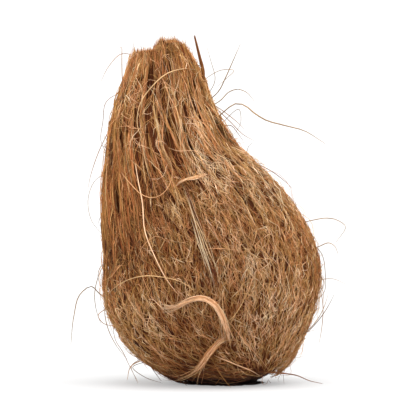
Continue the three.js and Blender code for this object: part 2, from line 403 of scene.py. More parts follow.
def add_object(name, data):
    made = bpy.data.objects.new(name, data)
    bpy.context.scene.collection.objects.link(made)
    return made


def finish_piece(piece, material):
    piece.data.materials.clear()
    piece.data.materials.append(material)
    piece.data.shade_smooth()
    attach(piece, "root")
    return piece


COAT_COLUMNS = 304
COAT_ROWS = 130
END_SHARE = 0.07
END_ROUGHNESS = 2.2
END_SUNK = 8


def make_coat(material):
    """A sphere combed along the fibres: its bottom pole is the blossom pole, and its top pole
    the middle of the tuft's cut end."""
    bpy.ops.object.select_all(action="DESELECT")
    bpy.ops.mesh.primitive_uv_sphere_add(segments=COAT_COLUMNS, ring_count=COAT_ROWS, radius=1)
    coat = bpy.context.object
    coat.name = "coir_coat"
    mesh = coat.data
    mesh.uv_layers[0].name = "OFBake"
    ball = np.empty(len(mesh.vertices) * 3, np.float32)
    mesh.vertices.foreach_get("co", ball)
    ball = ball.reshape(-1, 3).astype(float)
    fibre_turn = np.arctan2(ball[:, 1], ball[:, 0])
    upward = 1 - np.arccos(np.clip(ball[:, 2], -1, 1)) / math.pi
    along = np.minimum(upward / (1 - END_SHARE), 1)
    inward = np.maximum(upward - (1 - END_SHARE), 0) / END_SHARE
    groove = smoothstep(-0.6, 0.5, within_slits(coat_point(fibre_turn, along)))
    low = FIBRE_BED + SLIT_DEPTH * groove * (along < 1)
    points = coat_point(fibre_turn, along, CLUMP_RISE * clump_at(fibre_turn, along) - low)
    end = np.array([OUTLINE[-1, 0], 0, TUFT_TOP - END_SUNK])
    points += (end - points) * inward[:, None]
    bristle = np.sin(40 * fibre_turn + 25 * inward) + np.sin(67 * fibre_turn - 31 * inward)
    points[:, 2] += 0.5 * END_ROUGHNESS * bristle * np.sin(math.pi * inward)
    points[:, 2] = np.maximum(points[:, 2], FOOT_GAP)
    mesh.vertices.foreach_set("co", (points * MM).astype(np.float32).ravel())
    mesh.update()
    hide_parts("coconut")
    return finish_piece(coat, material)


TIP_LENGTH = 1.6
# A fibre's cross section is turned by this, so that none is flat where it points outwards.
ASKEW = (0.31, -0.17, 0.23)
LOWEST = 0.1


def tubes(lines, thick, tones):
    """Closed three-sided tubes along lines of shape (fibres, rings, 3), tapering to their tips.
    Returns vertices in metres, triangles, and each vertex's tone and place along its fibre."""
    count, rings, _ = lines.shape
    tangent = np.gradient(lines, axis=1)
    middle = np.interp(lines[..., 2], OUTLINE[:, 2], OUTLINE[:, 0])
    outward = np.stack([lines[..., 0] - middle, lines[..., 1], 0 * middle], axis=-1)
    outward += ASKEW
    side = unit(np.cross(tangent, outward))
    out = unit(np.cross(side, tangent))
    along = np.linspace(0, 1, rings)
    radius = thick[:, None] / 2 * (0.75 + 0.5 * np.sin(math.pi * along) - 0.4 * along)
    corners = []
    for turn in (math.pi / 2, math.pi / 2 + FULL_TURN / 3, math.pi / 2 - FULL_TURN / 3):
        aside = side * math.cos(turn) + out * math.sin(turn)
        corners.append(lines + aside * radius[..., None])
    ring_points = np.stack(corners, axis=2).reshape(count, rings * 3, 3)
    spacing = np.linalg.norm(tangent, axis=-1, keepdims=True)
    reach = np.minimum(0.5, TIP_LENGTH / np.maximum(spacing, 1e-9))
    root = lines[:, :1] - (reach * tangent)[:, :1]
    tip = lines[:, -1:] + (reach * tangent)[:, -1:]
    points = np.concatenate([ring_points, root, tip], axis=1)
    faces = []
    for ring in range(rings - 1):
        for corner in range(3):
            a = ring * 3 + corner
            b = ring * 3 + (corner + 1) % 3
            faces += [(a, b, b + 3), (a, b + 3, a + 3)]
    last = (rings - 1) * 3
    for corner in range(3):
        after = (corner + 1) % 3
        faces.append((rings * 3, after, corner))
        faces.append((rings * 3 + 1, last + corner, last + after))
    faces = np.array(faces)[None] + (np.arange(count) * (rings * 3 + 2))[:, None, None]
    column = np.floor(np.clip(tones, 0, 0.9999) * TONE_COLUMNS)[:, None]
    around = np.r_[np.tile([0.15, 0.5, 0.85], rings), 0.5, 0.5][None]
    length = np.r_[np.repeat(0.02 + 0.96 * along, 3), 0, 1]
    uv = np.stack([(column + around) / TONE_COLUMNS, np.tile(length, (count, 1))], axis=-1)
    return points.reshape(-1, 3) * MM, faces.reshape(-1, 3), uv.reshape(-1, 2)


def fibre_piece(name, groups, material):
    """One mesh of many fibres. Each group is (lines, thickness, tones)."""
    points, faces, uvs = [], [], []
    start = 0
    for lines, thick, tones in groups:
        group_points, group_faces, group_uvs = tubes(lines, thick, tones)
        group_points[:, 2] = np.maximum(group_points[:, 2], LOWEST * MM)
        points.append(group_points)
        faces.append(group_faces + start)
        uvs.append(group_uvs)
        start += len(group_points)
    faces = np.concatenate(faces)
    mesh = bpy.data.meshes.new(name)
    mesh.from_pydata(np.concatenate(points).tolist(), [], faces.tolist())
    layer = mesh.uv_layers.new(name="OFBake")
    layer.data.foreach_set("uv", np.concatenate(uvs)[faces.ravel()].astype(np.float32).ravel())
    return finish_piece(add_object(name, mesh), material)


def uneven(rng, spread, count):
    """Factors round 1 that make things differ in size."""
    return np.exp(rng.normal(0, spread, count))


def walk(rng, fibre_turn, along, length, heading, rings, wander):
    """Lines over the coat, as (fibres, rings) arrays of fibre turn and place along it. A fibre
    sets out at its heading from the flow and wanders a little at each step."""
    turns, alongs = [], []
    step = length / (rings - 1)
    bend = rng.normal(0, 1, len(length)) * wander
    for _ in range(rings):
        turns.append(fibre_turn)
        alongs.append(along)
        _, beside, above = nudged(fibre_turn, np.clip(along, 0.02, 0.995))
        per_turn = np.maximum(np.linalg.norm(beside, axis=-1) / NUDGE, 0.05)
        per_along = np.linalg.norm(above, axis=-1) / NUDGE
        fibre_turn = fibre_turn + step * np.sin(heading) / per_turn
        along = along + step * np.cos(heading) / per_along
        heading = heading + bend + rng.normal(0, 1, len(length)) * wander
    return np.stack(turns, axis=1), np.clip(np.stack(alongs, axis=1), 0.005, None)


def cut_at_top(turns, alongs, top):
    """The same lines with what runs past the top cut off, and as many rings as before."""
    last = alongs.shape[1] - 1
    past = alongs[:, -1] > top
    step = np.maximum(alongs[:, -1] - alongs[:, -2], 1e-6)
    end = np.where(past, np.clip(last - (alongs[:, -1] - top) / step, 0.5, last), last)
    place = end[:, None] * np.linspace(0, 1, last + 1)
    before = np.minimum(place.astype(int), last - 1)
    share = place - before
    row = np.arange(len(turns))[:, None]
    cut = [(1 - share) * v[row, before] + share * v[row, before + 1] for v in (turns, alongs)]
    return cut[0], cut[1], past


def lay(rng, turn, along, length, heading, turned, rings, wander, top=1.005):
    """Fibres laid over the coat from their places on it, and the rings' shares of their length.
    A share of them is turned to run the other way, and none runs past the top."""
    heading = heading + math.pi * (rng.random(len(along)) < turned)
    turns, alongs = walk(rng, turn, along, length, heading, rings, wander)
    turns, alongs, _ = cut_at_top(turns, alongs, top)
    return turns, alongs, np.linspace(0, 1, rings)


# Fibres clump: each clump of about 2 by 6 mm stands out or lies low, and is lighter or darker.
CLUMPS_ROUND = 170
CLUMPS_ALONG = 42
clump_draws = seeded(20).normal(0, 1, (CLUMPS_ROUND, CLUMPS_ALONG + 2))


def clump_at(fibre_turn, along):
    """A smooth random value over the coat, about -1 to 1."""
    column = np.mod(fibre_turn / FULL_TURN, 1) * CLUMPS_ROUND
    # Clumps in neighbouring columns start at other heights, so they make no rows.
    first = np.floor(column).astype(int)
    value = 0
    for side in (0, 1):
        at = (first + side) % CLUMPS_ROUND
        row = np.clip(along * CLUMPS_ALONG + 0.5 * np.sin(2.4 * at), 0, CLUMPS_ALONG)
        below = np.floor(row).astype(int)
        up = smoothstep(0, 1, row - below)
        here = (1 - up) * clump_draws[at, below] + up * clump_draws[at, below + 1]
        beside = smoothstep(0, 1, column - first)
        value = value + here * (beside if side else 1 - beside)
    return value


def streak(fibre_turn, along):
    """A slow variation, long along the fibres and narrow across them, from -1 to 1."""
    return (
        np.sin(37 * fibre_turn + 5 * np.sin(4 * along))
        + np.sin(61 * fibre_turn + 9 * along + 1.3)
        + np.sin(17 * fibre_turn - 11 * along + 2.1)
    ) / 3


# Parts of the front that are lighter, darker or greyer than the rest: x, height in the view,
# half width, half height, change of tone, and share of weathered fibres. Most are the coir's own
# tone; some are painted light and shade: painted shade on the left edge and along the bottom,
# and painted light over the lower front.
TONE_AND_PAINTED_LIGHT_PATCHES = [
    (-19, 138, 4, 12, 0.1, 0),
    (-13, 122, 5, 16, 0.34, 0),
    (-5, 108, 6, 10, 0.34, 0),
    (-3, 94, 7, 9, 0.12, 0),
    (-30, 90, 3, 7, 0.18, 0),
    (10, 113, 7, 6, 0.2, 0),
    (20, 98, 5, 9, 0.1, 0),
    (-14, 149, 4, 7, -0.28, 0),
    (-6, 126, 5, 9, -0.28, 0.1),
    (2, 120, 5, 4, -0.2, 0.2),
    (-20, 116, 3, 8, -0.32, 0),
    (-27, 170, 9, 5, -0.2, 0),
    (-44, 151, 4, 9, -0.14, 0),
    (-44, 130, 2.5, 8, 0.2, 0),
    (-50, 128, 4, 13, -0.14, 0),
    # Painted shade on the left edge.
    (-56, 108, 4, 34, -0.2, 0),
    (-33, 158, 4, 10, -0.1, 0),
    (-27, 122, 6, 14, -0.12, 0),
    (-43, 88, 9, 18, -0.2, 0),
    (-45, 104, 4, 8, -0.16, 0),
    (-35, 80, 3, 9, -0.14, 0),
    (18, 98, 13, 9, 0.0, 0.4),
    (-7, 63, 4, 14, -0.16, 0.3),
    (5, 36, 7, 12, -0.12, 0.1),
    (-10, 30, 12, 7, -0.16, 0.1),
    (-48, 62, 9, 10, -0.16, 0.1),
    # Painted shade on the left edge.
    (-60, 64, 4, 28, -0.2, 0),
    (-50, 52, 6, 5, -0.12, 0),
    (46, 52, 5, 20, -0.2, 0),
    (36, 69, 6, 6, -0.14, 0),
    (2, 47, 5, 5, -0.22, 0),
    # Painted light over the lower front, here and on the next row.
    (-37, 32, 12, 11, 0.12, 0),
    (20, 44, 19, 29, 0.2, 0),
    (12, 61, 8, 7, 0.12, 0),
    # Painted shade along the bottom, here and on the next row.
    (-24, 8, 16, 6, -0.3, 0.1),
    (0, 5, 24, 5, -0.28, 0.1),
]


STREAK_TONE = 0.1
CLUMP_TONE = 0.15
# Painted shade: fibres near the floor are darker by this much tone.
FOOT_PAINTED_SHADE_TONE = 0.4
CLUMP_RISE = 0.3


def fibre_tones(rng, fibre_turn, along, points, base, spread):
    """Each fibre's U, from its place on the coat."""
    at = len(points[0]) // 2
    x, y, z = points[:, at].T
    seen = seen_height(y, z)
    shift = STREAK_TONE * streak(fibre_turn[:, at], along[:, at])
    shift += CLUMP_TONE * clump_at(fibre_turn[:, at], along[:, at])
    # Painted shade: fibres are darker near the floor, for the shade under the nut.
    shift -= FOOT_PAINTED_SHADE_TONE * (1 - smoothstep(0.4 * FOOT_HEIGHT, 1.9 * FOOT_HEIGHT, z))
    grey = np.full(len(x), 0.04)
    # Some patches are the coir's own tone and some are painted light and shade.
    for px, pz, half_width, half_height, change, weathered in TONE_AND_PAINTED_LIGHT_PATCHES:
        near = np.exp(-(((x - px) / half_width) ** 2) - ((seen - pz) / half_height) ** 2)
        near = near * (y < 0)
        shift += change * near
        grey += weathered * near
    tone = base + shift + rng.normal(0, spread, len(x))
    warm = clump_at(fibre_turn[:, at] + 2, along[:, at]) + rng.normal(0, 1, len(x))
    family = np.where(warm > 0.15, RUSSET, STRAW)
    family = np.where(rng.random(len(x)) < grey, WEATHERED, family)
    return tone_place(family, tone)


# Dark slits between the locks of the front, by x and height in the view, with their widths.
SLITS = [
    ((-36, 162), (-38.5, 142), 3.0),
    ((-39.5, 139), (-38, 126), 2.4),
    ((-57, 127), (-56, 108), 1.2),
    ((-52.5, 133), (-51, 116), 1.4),
    ((-27.5, 137), (-24, 128), 1.4),
    ((-29.5, 172), (-29, 163), 1.4),
    ((-4, 129), (4.5, 119), 1.8),
    ((-16, 153), (-15, 148), 1.2),
    ((-18, 146), (-10, 128), 1.0),
    ((-54, 100), (-53, 84), 1.0),
]


SLIT_DEPTH = 4.5


def within_slits(points):
    """How far within a slit's edge each point is, as a share of its half width, and 0 outside."""
    x, y, z = np.moveaxis(points, -1, 0)
    seen = seen_height(y, z)
    within = np.zeros(x.shape)
    for (x0, z0), (x1, z1), width in SLITS:
        run = np.array([x1 - x0, z1 - z0])
        share = np.clip(((x - x0) * run[0] + (seen - z0) * run[1]) / (run @ run), 0, 1)
        away = np.hypot(x - x0 - share * run[0], seen - z0 - share * run[1])
        half = width / 2 * (0.35 + 0.65 * np.sin(math.pi * np.clip(share, 0.02, 0.98)))
        within = np.maximum(within, np.where(y < 0, 1 - away / half, 0))
    return within


def between_rings(lines):
    """The same lines with two more places between each pair of rings."""
    parts = [lines]
    for share in (1 / 3, 2 / 3):
        parts.append((1 - share) * lines[:, :-1] + share * lines[:, 1:])
    return np.concatenate(parts, axis=1)


def clear_of_slits(lines):
    return (within_slits(between_rings(lines)) <= 0).all(axis=1)


def spread_over_coat(rng, count):
    """Places spread evenly over the coat's surface, as fibre turns and places along them."""
    tries = 3 * count
    along = np.sqrt(rng.random(tries)) * 0.94 + 0.03
    fibre_turn = rng.random(tries) * FULL_TURN
    here, beside, above = nudged(fibre_turn, along)
    area = np.linalg.norm(np.cross(beside, above), axis=-1) / along
    keep = rng.random(tries) < area / np.quantile(area, 0.97)
    keep &= here[:, 2] > 0.5
    return fibre_turn[keep][:count], along[keep][:count]


# Small dark gaps all over the mat, in millimetres: they are longer in the tuft.
GAPS = 560
GAP_LENGTH = 2.0
GAP_LENGTH_IN_TUFT = 6.0
GAP_WIDTH = 0.6
FOOT_LEFT = -19.0


def place_gaps(rng):
    """Each gap's middle, as points on the smooth coat, with the flow's direction there."""
    fibre_turn, along = spread_over_coat(rng, GAPS)
    middle, _, flow = nudged(fibre_turn, along)
    half = 0.5 * (GAP_LENGTH + (GAP_LENGTH_IN_TUFT - GAP_LENGTH) * smoothstep(0.5, 0.8, along))
    return middle, unit(flow), half * uneven(rng, 0.35, len(along))


GAP_MIDDLE, GAP_FLOW, GAP_HALF = place_gaps(seeded(30))


def clear_of_gaps(turns, alongs):
    """Which fibres keep out of the small gaps."""
    clear = np.ones(len(turns), bool)
    points = between_rings(smooth_at(turns, np.minimum(alongs, 1)))
    for middle, flow, half in zip(GAP_MIDDLE, GAP_FLOW, GAP_HALF):
        away = points - middle
        near = (np.abs(away) < half + GAP_WIDTH).all(axis=-1).any(axis=-1)
        away = away[near]
        run = away @ flow
        beside = np.linalg.norm(away - run[..., None] * flow, axis=-1)
        clear[near] &= ~((np.abs(run) < half) & (beside < GAP_WIDTH)).any(axis=-1)
    return clear


def clear_of_foot(lines):
    """Which fibres end above the recess at the foot, which is open but for its left side."""
    low = lines[lines[..., 2].argmin(axis=1)[:, None] == np.arange(lines.shape[1])]
    ragged = 0.8 * np.sin(0.9 * low[:, 0]) + 0.5 * np.sin(2.3 * low[:, 0] + 1)
    return (low[:, 2] > FOOT_HEIGHT - 0.3 + ragged) | (low[:, 0] < FOOT_LEFT)


# The shoulder is smooth felt, with no curls over it: x, height in the view, half width and height.
FELT = (20, 96, 16, 14)


def clear_of_felt(lines):
    x, y, z = np.moveaxis(lines, -1, 0)
    away = np.hypot((x - FELT[0]) / FELT[2], (seen_height(y, z) - FELT[1]) / FELT[3])
    return ((away > 1) | (y > 0)).all(axis=1)


def matted_fibres(
    rng, count, length, thick, heading, wander, low, high, tone, spread, rings=3, over_tuft=0.0,
    off_felt=False,
):
    """Short fibres all over the coat at headings around the flow, between a low and a high lift.
    They arch, and their roots and tips are in the mat."""
    fibre_turn, along = spread_over_coat(rng, count)
    in_tuft = smoothstep(0.55, 0.8, along)
    long = length * uneven(rng, 0.35, len(along)) * (1 + 0.8 * in_tuft)
    loose = heading * (1 - 0.5 * in_tuft)
    way = rng.normal(0, 1, len(along)) * loose
    wander = wander * (1 - 0.5 * in_tuft)
    turns, alongs, place = lay(rng, fibre_turn, along, long, way, 0.35, rings, wander)
    arch = rng.random((len(along), 1)) ** 2 * np.sin(math.pi * place)
    rise = low + (high - low) * (0.5 * rng.random((len(along), 1)) + 0.5 * arch)
    if rings > 2:
        rise -= 0.5 * (1 - place) ** 4 + 0.3 * place ** 4
    rise += CLUMP_RISE * clump_at(turns, alongs) + over_tuft * in_tuft[:, None]
    lines = coat_point(turns, alongs, rise)
    clear = clear_of_slits(lines) & clear_of_gaps(turns, alongs) & clear_of_foot(lines)
    if off_felt:
        clear &= clear_of_felt(lines)
    lines, turns, alongs = lines[clear], turns[clear], alongs[clear]
    widths = thick * uneven(rng, 0.25, len(lines))
    return lines, widths, fibre_tones(rng, turns, alongs, lines, tone, spread)


TUFT_STRANDS = 760
FIBRES_IN_A_STRAND = 9
# The tuft's long fibres start above a slanting line: low on the left, high on the right.
TUFT_LEFT = -60.0
TUFT_ROOT_AT_LEFT = 62.0
TUFT_ROOT_SLOPE = 0.95


def tuft_fibres(rng, rings=6):
    """The tuft's long fibres, in strands that run side by side and over each other."""
    turn, along = spread_over_coat(rng, 6 * TUFT_STRANDS)
    root = smooth_at(turn, along)
    lowest = TUFT_ROOT_AT_LEFT + TUFT_ROOT_SLOPE * (root[:, 0] - TUFT_LEFT)
    high = root[:, 2] > lowest + rng.normal(0, 9, len(turn))
    turn, along = turn[high][:TUFT_STRANDS], along[high][:TUFT_STRANDS]
    strands = len(turn)
    heading = rng.normal(0, 0.09, strands)
    length = rng.uniform(16, 50, strands)
    tone = rng.normal(0, 0.12, strands)
    lift = rng.uniform(-0.9, 0.5, strands)
    width = rng.uniform(0.3, 1.1, strands)

    strand = np.repeat(np.arange(strands), FIBRES_IN_A_STRAND)
    count = len(strand)
    aside = rng.normal(0, 1, count)
    radius = np.linalg.norm(nudged(turn, along)[1], axis=-1) / NUDGE
    fibre_turn = turn[strand] + aside * width[strand] / radius[strand]
    fibre_along = along[strand] + rng.normal(0, 0.015, count)
    way = heading[strand] + rng.normal(0, 0.05, count)
    long = length[strand] * rng.uniform(0.6, 1.1, count)
    turns, alongs = walk(rng, fibre_turn, fibre_along, long, way, rings, 0.045)
    turns, alongs, at_top = cut_at_top(turns, alongs, 1 + rng.normal(-0.006, 0.0035, count))
    place = np.linspace(0, 1, rings)
    crown = 0.6 * np.exp(-aside * aside) + rng.uniform(-0.35, 0.35, count)
    rise = (lift[strand] + crown)[:, None] + rng.normal(0, 0.12, (count, rings))
    rise -= 0.9 * (1 - place) ** 4 + 0.6 * place ** 6 * ~at_top[:, None]
    lines = coat_point(turns, alongs, rise)
    clear = clear_of_slits(lines) & clear_of_gaps(turns, alongs)
    lines, turns, alongs, strand = lines[clear], turns[clear], alongs[clear], strand[clear]
    widths = 0.31 * uneven(rng, 0.3, len(lines))
    return lines, widths, fibre_tones(rng, turns, alongs, lines, 0.6 + tone[strand], 0.1)


def tuft_end(rng, count, rings=3):
    """The brush of cut fibre ends on top of the tuft."""
    inward = 0.97 * np.sqrt(rng.random(count))
    turn = rng.random(count) * FULL_TURN
    rim = coat_point(turn, np.ones(count))
    middle = np.array([OUTLINE[-1, 0], 0, TUFT_TOP])
    top = middle + (rim - middle) * inward[:, None]
    shorter = (TUFT_TOP - rim[:, 2]) * smoothstep(0.05, 0.4, inward)
    top[:, 2] = TUFT_TOP - 0.8 - shorter + rng.normal(0, 0.8, count)
    below = middle + (0, 0, -60)
    below = below + (rim - middle) * inward[:, None] * 1.25
    place = np.linspace(0, 1, rings)[None, :, None]
    depth = (9 / 60) * rng.uniform(0.7, 1.3, (count, 1, 1))
    lines = top[:, None] + (below - top)[:, None] * depth * (1 - place)
    lines += rng.normal(0, 0.3, lines.shape)
    tones = tone_place(rng.integers(0, 2, count), rng.normal(0.5, 0.17, count))
    return lines, 0.45 * uneven(rng, 0.25, count), tones


def foot_fibres(rng, count, rings=3):
    """Fibres that lie flat under the nut, every way, and bear on the floor, dark with the
    pith's colour and its painted shade.
    """
    radius = FOOT_RADIUS * np.sqrt(rng.random(count))
    turn = rng.random(count) * FULL_TURN
    middle_x = radius * np.cos(turn) + FOOT_MIDDLE
    middle_y = DEPTH_TO_WIDTH_LOW * radius * np.sin(turn)
    way = turn + rng.normal(0, 0.9, count)
    run = rng.uniform(2, 5, count)[:, None] * np.linspace(-1, 1, rings)
    bend = rng.normal(0, 0.6, (count, 1)) * np.linspace(-1, 1, rings) ** 2
    x = middle_x[:, None] + run * np.cos(way)[:, None] - bend * np.sin(way)[:, None]
    y = middle_y[:, None] + run * np.sin(way)[:, None] + bend * np.cos(way)[:, None]
    inside = (np.hypot(x - FOOT_MIDDLE, y) < FOOT_RADIUS).all(axis=1)
    height = rng.uniform(0.25, 0.7, (count, 1)) + rng.normal(0, 0.1, (count, rings))
    lines = np.stack([x, y, height], axis=-1)[inside]
    return lines, 0.42 * uneven(rng, 0.25, len(lines)), rng.random(len(lines))


def recess_fibres(rng, count, rings=3):
    """Fibres in the recess round the foot, dark with the pith's colour and its painted shade."""
    turn, along = spread_over_coat(rng, count)
    low = smooth_at(turn, along)[:, 2] < FOOT_HEIGHT + 1
    turn, along = turn[low], along[low]
    long = rng.uniform(3, 8, len(along))
    way = rng.normal(0, 0.7, len(along))
    turns, alongs, _ = lay(rng, turn, along, long, way, 0.5, rings, 0.3)
    rise = rng.uniform(-1.0, -0.3, (len(along), 1)) + CLUMP_RISE * clump_at(turns, alongs)
    lines = coat_point(turns, alongs, rise)
    off_pole = (alongs > POLE_CLEAR).all(axis=1)
    lines = lines[(lines[..., 2] < FOOT_HEIGHT + 2).all(axis=1) & off_pole]
    return lines, 0.4 * uneven(rng, 0.25, len(lines)), rng.random(len(lines))


def on_front(x, seen, lift):
    """Points over the front, by x, the height where the view shows them, and lift off the coat."""
    height = seen
    for _ in range(4):
        depth = front_depth(x, height) + lift
        height = seen + depth * math.tan(VIEW_DOWN)
    return np.stack([x, -depth, height], axis=-1)


# Strips torn out of the husk, by x, height in the view and lift off the coat, as in the solid.
TORN_STRIPS = [
    [(-31.5, 38, 1.5), (-25.5, 38.5, 2.5), (-18, 42.2, 3), (-11.5, 43.5, 3), (-6, 41, 3),
     (-1.5, 34.5, 2.5), (1, 27, 1.5), (3, 19, -2.5)],
    [(2, 26, -2.5), (-4, 20.5, 1.5), (-9, 14.5, 1.5), (-13.5, 8, 1), (-19, 4, -2.5)],
    [(-26, 98.5, -2), (-21, 101.7, 1.5), (-14, 103.5, 1.5), (-8, 105, -2)],
]
STRIP_HALF_WIDTH = [1.15, 1.25, 0.55]
STRIP_FIBRES = [84, 90, 26]
STRIP_TONE = [0.96, 0.72, 0.78]
STRIP_RUSSET = [0.85, 0.8, 0.6]
STRIP_FRAY = [3.4, 5.5, 2.0]


def torn_strips(rng, rings=14):
    """Each strip is a flat bundle, thin at its ends, whose fibres start and stop along it. Some
    fray off it at the free end."""
    lines, tones = [], []
    for strip, half_width, count, tone, russet, fray in zip(
        TORN_STRIPS, STRIP_HALF_WIDTH, STRIP_FIBRES, STRIP_TONE, STRIP_RUSSET, STRIP_FRAY
    ):
        spine = smooth_line(strip, rings)
        ahead = unit(np.gradient(spine, axis=0))
        whole = np.linspace(0, 1, rings)
        for _ in range(count):
            across = rng.uniform(-1, 1)
            place = np.linspace(rng.uniform(0, 0.3), rng.uniform(0.6, 1), rings)
            wide = np.sin(math.pi * np.clip(0.1 + 0.8 * place, 0, 1))
            sway = rng.uniform(0.1, 0.6)
            wave = sway * np.sin(rng.uniform(4, 14) * place + rng.uniform(0, FULL_TURN))
            splay = fray * rng.normal(0, 1) * (rng.random() < 0.5)
            from_end = np.abs(place - 0.45) / 0.55
            aside = half_width * across * wide + wave + splay * from_end ** 3
            x, height, lift = (np.interp(place, whole, c) for c in spine.T)
            dx, dz = (np.interp(place, whole, ahead[:, i]) for i in (0, 1))
            lift = lift + 0.8 * np.sqrt(1 - across * across) + rng.uniform(-0.7, 0.3)
            lines.append(on_front(x - dz * aside, height + dx * aside, lift))
            family = RUSSET if rng.random() < russet else STRAW
            # Painted shade: fibres towards a strip's edges are darker, where its rounded face
            # turns from the light.
            tones.append(tone_place(family, rng.normal(tone, 0.18) - 0.12 * across ** 2))
    lines = np.array(lines)
    return lines, 0.27 * uneven(rng, 0.3, len(lines)), np.array(tones)


# The coat's seam of straight weathered fibres, by x and height in the view.
SEAM = [(-20.6, 100), (-16, 86), (-11.8, 73), (-8.2, 62), (-5, 51.5), (-2.8, 43.5)]
SEAM_LIGHT = 15
SEAM_DARK = 48


def seam_fibres(rng, rings=7):
    """Long pale strands over shorter dark fibres."""
    reach = np.linspace(0, 1, len(SEAM))
    lines = []
    for index in range(SEAM_LIGHT + SEAM_DARK):
        light = index < SEAM_LIGHT
        start = rng.uniform(-0.02, 0.5 if light else 0.75)
        long = rng.uniform(0.3, 0.55) if light else rng.uniform(0.12, 0.3)
        place = np.linspace(start, min(start + long, 1.02), rings)
        x, height = (np.interp(place, reach, c) for c in np.array(SEAM).T)
        wide = 1.0 + 0.9 * np.clip(place, 0, 1)
        x = x + rng.uniform(-1.9, 1.9) * wide + rng.normal(0, 6) * (place - place.mean())
        x = x + rng.normal(0, 0.1, rings)
        rise = rng.uniform(0.9, 1.4) if light else rng.uniform(0.3, 0.8)
        arch = np.sin(math.pi * np.linspace(0.04, 0.96, rings)) ** 0.6
        lines.append(on_front(x, height, rise * arch))
    light = np.arange(len(lines)) < SEAM_LIGHT
    tone = np.where(light, rng.normal(0.82, 0.08, len(lines)), rng.normal(0.15, 0.1, len(lines)))
    pale = np.where(rng.random(len(lines)) < 0.6, WEATHERED, STRAW)
    family = np.where(light, pale, rng.integers(0, 2, len(lines)))
    widths = np.where(light, 0.3, 0.34) * uneven(rng, 0.25, len(lines))
    return np.array(lines), widths, tone_place(family, tone)


# Loose fibres that lie over the front, by x, height in the view and lift, as in the solid.
LYING_FIBRES = [
    [(-14, 157, -2), (-20, 157.5, 2), (-28, 155.5, 3), (-36, 149, 3), (-42.5, 139.5, 2.5),
     (-43.8, 130, 1.5), (-39, 118, -2)],
    [(-54, 111, -3), (-51.5, 105.5, 1.5), (-46.5, 99.5, 3), (-41.5, 94.7, 3.5), (-35.5, 93, 3.5),
     (-30, 96, 3.5), (-26.5, 103, 3), (-26.7, 110, 1.5), (-29, 115, -2)],
    [(-45.5, 116, -2), (-43.5, 103, 1.5), (-41, 90, 2), (-40, 77, 2), (-35, 64, 2), (-29, 52.5, 2),
     (-22, 43.5, -2)],
    [(-60, 42, -3), (-55.5, 48, 2), (-49, 52, 3), (-40, 54.3, 3.5), (-31, 53.7, 3.5),
     (-21, 51, 3), (-15.5, 47, 1.5), (-13.5, 43, -2)],
    [(0, 31, -2), (4, 34, 2), (7.5, 39, 2.5), (10.5, 45, 1.5)],
    [(0, 34, -2), (6, 26.5, 1.5), (11, 20.5, 1.5), (17, 13.5, 1.5), (22, 7, -2)],
    [(-5, 14.5, -2), (1, 12, 1.5), (7, 9.5, 2), (13, 7, 2), (17, 4.5, -2)],
]
LYING_THICKNESS = [0.55, 0.4, 0.68, 0.45, 0.4, 0.42, 0.6]

# Thinner fibres that lie over the front, which the solid is too coarse for.
LYING_WISPS = [
    [(-12, 67, -1), (-6, 68, 1.5), (2, 67.6, 1.8), (9, 66.3, 0)],
    [(-28, 118, -1), (-24, 116.5, 2), (-16, 116.5, 2), (-8, 114.5, 0)],
    [(-44, 62, -1), (-40, 70, 2), (-34, 74, 2), (-28, 71, 0)],
    [(-52, 132, -1), (-47, 128, 2), (-42, 127.5, 0)],
    [(-27, 135, 0), (-18, 133, 1.5), (-8, 131, 1.5), (-2, 129, 0)],
    [(-37, 44, 0), (-33, 40, 1.5), (-28, 35.5, 1.5), (-24, 33, 0)],
    [(12, 60, 0), (17, 56, 1.5), (19, 49, 1.5), (14, 44, 0)],
    [(-19, 22, 0), (-13, 25, 1.5), (-8, 23, 1.5), (-5, 18, 0)],
    [(9, 42, 0), (12, 48, 1.5), (14.5, 55, 0)],
    [(-2, 104, 0), (4, 98, 1.5), (10.5, 88.5, 1.5), (14.5, 80, 1.5), (21, 72, 0)],
    [(-13, 8, 0), (-18.5, 4.6, 1), (-22, 3.2, 1), (-26, 3.4, 0.3)],
    [(-14, 7, 0), (-19, 3.8, 1.2), (-23, 2.4, 1), (-25.5, 1.6, 0.5)],
    [(-12, 7, 0), (-17, 4.2, 1), (-21, 2.2, 1), (-24, 1.8, 0.3)],
    [(-15, 8, 0), (-20, 5.4, 1), (-24, 4.0, 1), (-29, 4.6, 0.3)],
]

